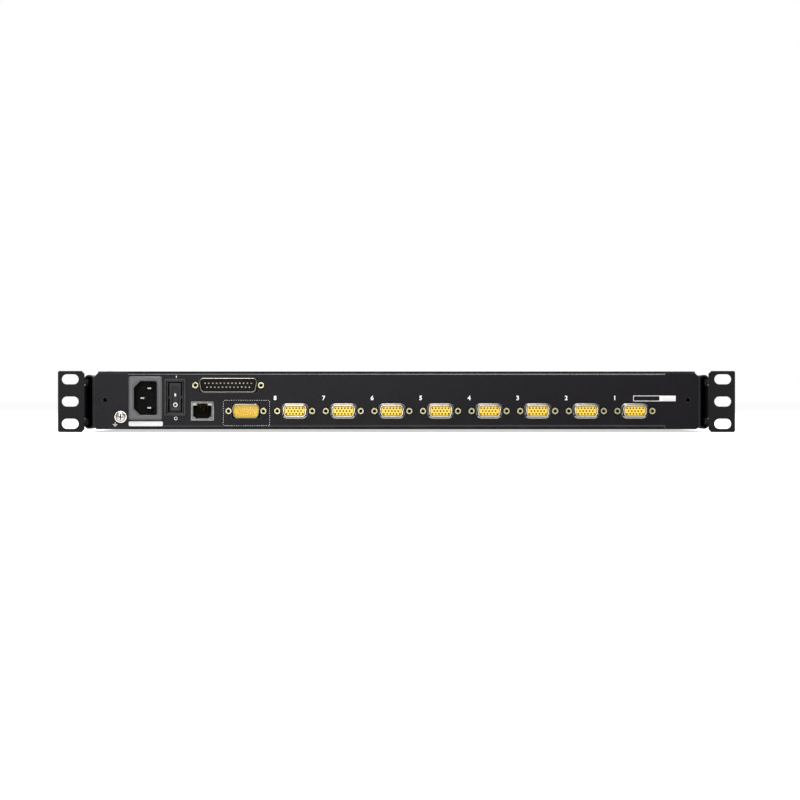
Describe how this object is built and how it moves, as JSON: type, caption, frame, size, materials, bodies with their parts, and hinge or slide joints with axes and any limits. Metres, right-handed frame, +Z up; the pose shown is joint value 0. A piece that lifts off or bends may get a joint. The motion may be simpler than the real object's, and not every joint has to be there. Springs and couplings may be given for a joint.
{
  "type": "rackmount lcd console drawer",
  "caption": "One-unit rack drawer with a flip-up screen, keyboard and touchpad on ball slides, and a rear row of D-shell computer ports with rack brackets.",
  "frame": {"origin": "centre of the whole object's outline, on the plane of the rack ears' lower edges", "axes": "+X to the operator's right, +Y towards the rear panel, +Z up"},
  "size_m": [0.4826, 0.728, 0.0436],
  "materials": {
    "case_paint": "fine matt powder coat",
    "panel_paint": "fine matt powder coat",
    "ear_paint": "fine matt powder coat",
    "zinc": "bright zinc",
    "nickel": "nickel plated",
    "rail_steel": "zinc-plated rails",
    "ball_steel": "polished balls in a zinc cage",
    "yellow_plastic": "moulded",
    "black_plastic": "moulded, fine texture",
    "grey_plastic": "moulded, fine texture",
    "key_plastic": "moulded caps",
    "pad_film": "smooth matt film",
    "screen": "dark screen behind a matt film",
    "board": "green board",
    "rubber": "grommet",
    "gold": "gold-plated contacts"
  },
  "bodies": {
    "case": {"case_pan": "case_paint", "case_cover": "case_paint", "rear_panel": "panel_paint", "bulkhead": "case_paint", "cable_grommet": "rubber", "front_ears": "ear_paint", "side_channels": "zinc", "slide_outers": "rail_steel", "power_inlet": "grey_plastic", "inlet_blades": "nickel", "switch_frame": "black_plastic", "male_port_shells": "nickel", "chain_port_insert": "black_plastic", "console_port_insert": "yellow_plastic", "port_pins": "gold", "computer_port_shells": "nickel", "computer_port_inserts": "yellow_plastic", "jackscrews": "nickel", "lan_shield": "nickel", "lan_insert": "black_plastic", "ground_screw": "nickel", "main_board": "board", "power_supply": "zinc"},
    "drawer": {"drawer_tray": "case_paint", "keyboard_deck": "black_plastic", "keyboard_plate": "black_plastic", "touchpad": "pad_film", "front_handle": "black_plastic", "slide_inners": "rail_steel", "hinge_brackets": "zinc"},
    "lid": {"lid_cover": "case_paint", "lid_bezel": "black_plastic", "lcd_panel": "screen", "lid_grip": "black_plastic", "hinge_pins": "zinc"},
    "middle_rail_right": {"slide_middle_right": "rail_steel"},
    "middle_rail_left": {"slide_middle_left": "rail_steel"},
    "outer_cages": {"ball_cages_outer": "ball_steel"},
    "inner_cages": {"ball_cages_inner": "ball_steel"},
    "bracket_right": {"rear_bracket_right": "ear_paint"},
    "bracket_left": {"rear_bracket_left": "ear_paint"},
    "rocker": {"power_rocker": "black_plastic"},
    "click_right": {"touchpad_button_right": "grey_plastic"},
    "click_left": {"touchpad_button_left": "grey_plastic"},
    "release_right": {"catch_right": "grey_plastic"},
    "release_left": {"catch_left": "grey_plastic"},
    "latch": {"lid_latch": "grey_plastic"},
    "space_bar_row": {"space_bar": "key_plastic"},
    "bottom_keys_row": {"bottom_keys": "key_plastic"},
    "lower_keys_row": {"lower_keys": "key_plastic"},
    "home_keys_row": {"home_keys": "key_plastic"},
    "upper_keys_row": {"upper_keys": "key_plastic"},
    "number_keys_row": {"number_keys": "key_plastic"},
    "function_keys_row": {"function_keys": "key_plastic"},
    "keypad_keys_row": {"keypad_keys": "key_plastic"},
    "button_1": {"screen_button_1": "grey_plastic"},
    "button_2": {"screen_button_2": "grey_plastic"},
    "button_3": {"screen_button_3": "grey_plastic"},
    "button_4": {"screen_button_4": "grey_plastic"}
  },
  "joints": [
    {"name": "drawer_slide", "type": "slide", "parent": "case", "child": "drawer", "axis": [0, -1, 0], "range_m": [0, 0.4]},
    {"name": "middle_right_slide", "type": "slide", "parent": "case", "child": "middle_rail_right", "axis": [0, -1, 0], "range_m": [0, 0.2]},
    {"name": "middle_left_slide", "type": "slide", "parent": "case", "child": "middle_rail_left", "axis": [0, -1, 0], "range_m": [0, 0.2]},
    {"name": "outer_cages_slide", "type": "slide", "parent": "case", "child": "outer_cages", "axis": [0, -1, 0], "range_m": [0, 0.1]},
    {"name": "inner_cages_slide", "type": "slide", "parent": "case", "child": "inner_cages", "axis": [0, -1, 0], "range_m": [0, 0.3]},
    {"name": "lid_hinge", "type": "hinge", "parent": "drawer", "child": "lid", "pos_m": [0, 0.028, 0.0339], "axis": [-1, 0, 0], "range_deg": [0, 110]},
    {"name": "bracket_right_slide", "type": "slide", "parent": "case", "child": "bracket_right", "axis": [0, 1, 0], "range_m": [-0.013, 0.17]},
    {"name": "bracket_left_slide", "type": "slide", "parent": "case", "child": "bracket_left", "axis": [0, 1, 0], "range_m": [-0.013, 0.17]},
    {"name": "rocker_tip", "type": "hinge", "parent": "case", "child": "rocker", "pos_m": [0.1588, 0.3452, 0.0248], "axis": [1, 0, 0], "range_deg": [0, 18]},
    {"name": "space_bar_press", "type": "slide", "parent": "drawer", "child": "space_bar_row", "axis": [0, 0, -1], "range_m": [0, 0.002], "stiffness_N_per_m": 400},
    {"name": "bottom_keys_press", "type": "slide", "parent": "drawer", "child": "bottom_keys_row", "axis": [0, 0, -1], "range_m": [0, 0.002], "stiffness_N_per_m": 400},
    {"name": "lower_keys_press", "type": "slide", "parent": "drawer", "child": "lower_keys_row", "axis": [0, 0, -1], "range_m": [0, 0.002], "stiffness_N_per_m": 400},
    {"name": "home_keys_press", "type": "slide", "parent": "drawer", "child": "home_keys_row", "axis": [0, 0, -1], "range_m": [0, 0.002], "stiffness_N_per_m": 400},
    {"name": "upper_keys_press", "type": "slide", "parent": "drawer", "child": "upper_keys_row", "axis": [0, 0, -1], "range_m": [0, 0.002], "stiffness_N_per_m": 400},
    {"name": "number_keys_press", "type": "slide", "parent": "drawer", "child": "number_keys_row", "axis": [0, 0, -1], "range_m": [0, 0.002], "stiffness_N_per_m": 400},
    {"name": "function_keys_press", "type": "slide", "parent": "drawer", "child": "function_keys_row", "axis": [0, 0, -1], "range_m": [0, 0.002], "stiffness_N_per_m": 400},
    {"name": "keypad_keys_press", "type": "slide", "parent": "drawer", "child": "keypad_keys_row", "axis": [0, 0, -1], "range_m": [0, 0.002], "stiffness_N_per_m": 400},
    {"name": "click_right_press", "type": "slide", "parent": "drawer", "child": "click_right", "axis": [0, 0, -1], "range_m": [0, 0.001], "stiffness_N_per_m": 600},
    {"name": "release_right_press", "type": "slide", "parent": "drawer", "child": "release_right", "axis": [0, 1, 0], "range_m": [0, 0.004], "stiffness_N_per_m": 400},
    {"name": "click_left_press", "type": "slide", "parent": "drawer", "child": "click_left", "axis": [0, 0, -1], "range_m": [0, 0.001], "stiffness_N_per_m": 600},
    {"name": "release_left_press", "type": "slide", "parent": "drawer", "child": "release_left", "axis": [0, 1, 0], "range_m": [0, 0.004], "stiffness_N_per_m": 400},
    {"name": "latch_press", "type": "slide", "parent": "lid", "child": "latch", "axis": [0, 1, 0], "range_m": [0, 0.003], "stiffness_N_per_m": 500},
    {"name": "button_1_press", "type": "slide", "parent": "lid", "child": "button_1", "axis": [0, 0, 1], "range_m": [0, 0.0008], "stiffness_N_per_m": 500},
    {"name": "button_2_press", "type": "slide", "parent": "lid", "child": "button_2", "axis": [0, 0, 1], "range_m": [0, 0.0008], "stiffness_N_per_m": 500},
    {"name": "button_3_press", "type": "slide", "parent": "lid", "child": "button_3", "axis": [0, 0, 1], "range_m": [0, 0.0008], "stiffness_N_per_m": 500},
    {"name": "button_4_press", "type": "slide", "parent": "lid", "child": "button_4", "axis": [0, 0, 1], "range_m": [0, 0.0008], "stiffness_N_per_m": 500}
  ],
  "couplings": [
    {"joint": "middle_right_slide", "follows": "drawer_slide", "ratio": 0.5},
    {"joint": "middle_left_slide", "follows": "drawer_slide", "ratio": 0.5},
    {"joint": "outer_cages_slide", "follows": "drawer_slide", "ratio": 0.25},
    {"joint": "inner_cages_slide", "follows": "drawer_slide", "ratio": 0.75}
  ]
}
